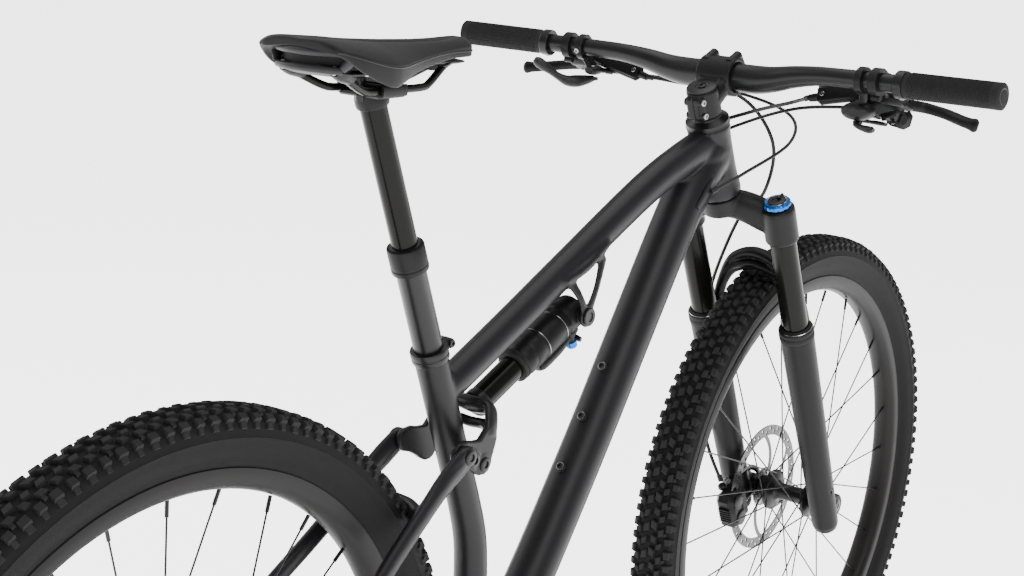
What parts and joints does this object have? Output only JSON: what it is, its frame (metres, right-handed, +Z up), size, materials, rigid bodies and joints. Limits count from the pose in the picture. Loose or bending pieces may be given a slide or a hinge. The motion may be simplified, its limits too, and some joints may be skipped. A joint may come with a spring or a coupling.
{
  "type": "mountain bike",
  "caption": "Full-suspension trail bike with knobbly tyres, telescopic fork, rear shock, dropper post and disc brakes, for riding on rough ground.",
  "frame": {"origin": "on the outer seat post's axis, 60 mm above the frame's seat clamp, where a work stand holds the bike", "axes": "+X forward along the bike, +Y to the rider's left, +Z up with both wheels on level ground"},
  "size_m": [1.907, 0.7558, 1.0549],
  "materials": {
    "head_tube": "satin charcoal paint",
    "top_tube": "satin charcoal paint",
    "down_tube": "satin charcoal paint",
    "seat_tube": "satin charcoal paint",
    "bb_shell": "satin charcoal paint",
    "chainstays": "satin charcoal paint",
    "seatstays": "satin charcoal paint",
    "post_outer": "black anodised",
    "stem": "black anodised",
    "handlebar": "black anodised",
    "fork_crown": "black anodised",
    "brake_left": "black anodised",
    "brake_right": "black anodised",
    "lever_left": "black anodised",
    "lever_right": "black anodised",
    "front_caliper": "black anodised",
    "rear_caliper": "black anodised",
    "front_rim": "black anodised",
    "rear_rim": "black anodised",
    "front_hub": "black anodised",
    "rear_hub": "black anodised",
    "shock_body": "black anodised",
    "shock_yoke": "black anodised",
    "shock_lever": "black anodised",
    "crank_right": "black anodised",
    "crank_left": "black anodised",
    "chainring": "black anodised",
    "derailleur_body": "black anodised",
    "derailleur_link": "black anodised",
    "derailleur_cage": "black anodised",
    "fork_lowers": "satin charcoal paint on cast magnesium",
    "stanchion_left": "gloss black coated tube",
    "stanchion_right": "gloss black coated tube",
    "post_inner": "gloss black coated tube",
    "shock_shaft": "gloss black coated tube",
    "fork_dial": "blue anodised",
    "front_tyre": "matt black",
    "rear_tyre": "matt black",
    "grip_left": "matt black",
    "grip_right": "matt black",
    "hose_front": "matt black",
    "hose_rear": "matt black",
    "shift_cable": "matt black",
    "dropper_cable": "matt black",
    "saddle_cover": "matt synthetic cover over foam",
    "saddle_base": "moulded black",
    "shifter": "moulded black",
    "dropper_remote": "moulded black",
    "dropper_paddle": "moulded black",
    "shift_paddle": "moulded black",
    "release_trigger": "moulded black",
    "pedal_left": "moulded black",
    "pedal_right": "moulded black",
    "guide_pulley": "moulded black",
    "tension_pulley": "moulded black",
    "front_rotor": "ground steel",
    "rear_rotor": "ground steel",
    "cassette": "dark steel",
    "chain": "dark steel"
  },
  "bodies": {
    "frame": {"head_tube": "head_tube", "top_tube": "top_tube", "down_tube": "down_tube", "seat_tube": "seat_tube", "bb_shell": "bb_shell", "post_outer": "post_outer", "hose_rear": "hose_rear", "shift_cable": "shift_cable", "dropper_cable": "dropper_cable"},
    "seat": {"post_inner": "post_inner", "saddle_base": "saddle_base", "saddle_cover": "saddle_cover"},
    "steering": {"stem": "stem", "handlebar": "handlebar", "grip_left": "grip_left", "grip_right": "grip_right", "fork_crown": "fork_crown", "stanchion_left": "stanchion_left", "stanchion_right": "stanchion_right", "brake_left": "brake_left", "brake_right": "brake_right", "shifter": "shifter", "dropper_remote": "dropper_remote", "hose_front": "hose_front"},
    "brake_lever_left": {"lever_left": "lever_left"},
    "brake_lever_right": {"lever_right": "lever_right"},
    "dropper_paddle": {"dropper_paddle": "dropper_paddle"},
    "shift_paddle": {"shift_paddle": "shift_paddle"},
    "release_trigger": {"release_trigger": "release_trigger"},
    "fork_dial": {"fork_dial": "fork_dial"},
    "fork_lowers": {"fork_lowers": "fork_lowers", "front_caliper": "front_caliper"},
    "front_wheel": {"front_tyre": "front_tyre", "front_rim": "front_rim", "front_hub": "front_hub", "front_rotor": "front_rotor"},
    "rear_triangle": {"chainstays": "chainstays", "seatstays": "seatstays", "rear_caliper": "rear_caliper", "derailleur_body": "derailleur_body", "chain": "chain"},
    "rear_wheel": {"rear_tyre": "rear_tyre", "rear_rim": "rear_rim", "rear_hub": "rear_hub", "rear_rotor": "rear_rotor"},
    "cassette": {"cassette": "cassette"},
    "crank": {"crank_right": "crank_right", "crank_left": "crank_left", "chainring": "chainring"},
    "pedal_right": {"pedal_right": "pedal_right"},
    "pedal_left": {"pedal_left": "pedal_left"},
    "derailleur_link": {"derailleur_link": "derailleur_link"},
    "derailleur_cage": {"derailleur_cage": "derailleur_cage"},
    "guide_pulley": {"guide_pulley": "guide_pulley"},
    "tension_pulley": {"tension_pulley": "tension_pulley"},
    "shock_body": {"shock_body": "shock_body"},
    "shock_lever": {"shock_lever": "shock_lever"},
    "shock_shaft": {"shock_shaft": "shock_shaft", "shock_yoke": "shock_yoke"}
  },
  "joints": [
    {"name": "steering", "type": "hinge", "parent": "frame", "child": "steering", "pos_m": [0.56035, 0, 0.09265], "axis": [-0.4067, 0, 0.9135], "range_deg": [-60, 60], "deforming": ["hose_rear", "shift_cable", "dropper_cable"]},
    {"name": "fork_travel", "type": "slide", "parent": "steering", "child": "fork_lowers", "axis": [-0.4067, 0, 0.9135], "range_m": [0, 0.12], "stiffness_N_per_m": 8000, "springref_m": -0.004, "deforming": ["hose_front"]},
    {"name": "front_wheel_spin", "type": "hinge", "parent": "fork_lowers", "child": "front_wheel", "pos_m": [0.83239, 0, -0.41017], "axis": [0, 1, 0], "continuous": true},
    {"name": "rear_suspension", "type": "hinge", "parent": "frame", "child": "rear_triangle", "pos_m": [0.11189, 0, -0.40117], "axis": [0, 1, 0], "range_deg": [0, 13.5], "stiffness_Nm_per_rad": 2600, "springref_deg": -0.57, "deforming": ["chain"]},
    {"name": "rear_wheel_spin", "type": "hinge", "parent": "rear_triangle", "child": "rear_wheel", "pos_m": [-0.33261, 0, -0.41017], "axis": [0, 1, 0], "continuous": true},
    {"name": "cassette_spin", "type": "hinge", "parent": "rear_triangle", "child": "cassette", "pos_m": [-0.33261, 0, -0.41017], "axis": [0, 1, 0], "continuous": true},
    {"name": "crank_spin", "type": "hinge", "parent": "frame", "child": "crank", "pos_m": [0.10989, 0, -0.45117], "axis": [0, 1, 0], "continuous": true},
    {"name": "pedal_right_spin", "type": "hinge", "parent": "crank", "child": "pedal_right", "pos_m": [0.27989, -0.148, -0.45117], "axis": [0, 1, 0], "continuous": true},
    {"name": "pedal_left_spin", "type": "hinge", "parent": "crank", "child": "pedal_left", "pos_m": [-0.06011, 0.148, -0.45117], "axis": [0, 1, 0], "continuous": true},
    {"name": "derailleur_swing", "type": "hinge", "parent": "rear_triangle", "child": "derailleur_link", "pos_m": [-0.35261, -0.081, -0.47517], "axis": [-0.8351, 0, -0.5501], "range_deg": [-3, 12], "stiffness_Nm_per_rad": 6},
    {"name": "cage_swing", "type": "hinge", "parent": "derailleur_link", "child": "derailleur_cage", "pos_m": [-0.33211, -0.045, -0.52317], "axis": [0, 1, 0], "range_deg": [-15, 35], "stiffness_Nm_per_rad": 1.2},
    {"name": "guide_pulley_spin", "type": "hinge", "parent": "derailleur_cage", "child": "guide_pulley", "pos_m": [-0.32411, -0.045, -0.51517], "axis": [0, 1, 0], "continuous": true},
    {"name": "tension_pulley_spin", "type": "hinge", "parent": "derailleur_cage", "child": "tension_pulley", "pos_m": [-0.30211, -0.045, -0.60517], "axis": [0, 1, 0], "continuous": true},
    {"name": "shock_swing", "type": "hinge", "parent": "frame", "child": "shock_body", "pos_m": [0.26189, 0, -0.05117], "axis": [0, 1, 0], "range_deg": [-3.5, 0]},
    {"name": "shock_stroke", "type": "slide", "parent": "shock_body", "child": "shock_shaft", "axis": [0.9128, 0, 0.4083], "range_m": [0, 0.06]},
    {"name": "shock_lever_turn", "type": "hinge", "parent": "shock_body", "child": "shock_lever", "pos_m": [0.2652, 0.004, -0.07817], "axis": [-0.4083, 0, 0.9128], "range_deg": [0, 60]},
    {"name": "fork_dial_turn", "type": "hinge", "parent": "steering", "child": "fork_dial", "pos_m": [0.6071, -0.069, 0.03684], "axis": [-0.4067, 0, 0.9135], "range_deg": [-90, 0]},
    {"name": "dropper_travel", "type": "slide", "parent": "frame", "child": "seat", "axis": [-0.3515, 0, 0.9362], "range_m": [-0.15, 0]},
    {"name": "brake_lever_left_pull", "type": "hinge", "parent": "steering", "child": "brake_lever_left", "pos_m": [0.59989, 0.232, 0.18533], "axis": [0, 0, 1], "range_deg": [0, 18], "stiffness_Nm_per_rad": 4, "springref_deg": -2.86},
    {"name": "brake_lever_right_pull", "type": "hinge", "parent": "steering", "child": "brake_lever_right", "pos_m": [0.59989, -0.232, 0.18533], "axis": [0, 0, -1], "range_deg": [0, 18], "stiffness_Nm_per_rad": 4, "springref_deg": -2.86},
    {"name": "dropper_paddle_push", "type": "hinge", "parent": "steering", "child": "dropper_paddle", "pos_m": [0.56189, 0.19, 0.17333], "axis": [0, 0, -1], "range_deg": [0, 20], "stiffness_Nm_per_rad": 1, "springref_deg": -2.86},
    {"name": "shift_paddle_push", "type": "hinge", "parent": "steering", "child": "shift_paddle", "pos_m": [0.56189, -0.19, 0.16283], "axis": [0, 0, 1], "range_deg": [0, 20], "stiffness_Nm_per_rad": 1, "springref_deg": -2.86},
    {"name": "release_trigger_pull", "type": "hinge", "parent": "steering", "child": "release_trigger", "pos_m": [0.57789, -0.182, 0.16283], "axis": [0, 0, -1], "range_deg": [0, 12], "stiffness_Nm_per_rad": 1, "springref_deg": -2.86}
  ],
  "couplings": [
    {"joint": "cassette_spin", "follows": "crank_spin", "ratio": 1.1429},
    {"joint": "shock_stroke", "follows": "rear_suspension", "m_per_rad": 0.2535},
    {"joint": "shock_swing", "follows": "rear_suspension", "ratio": -0.245}
  ]
}
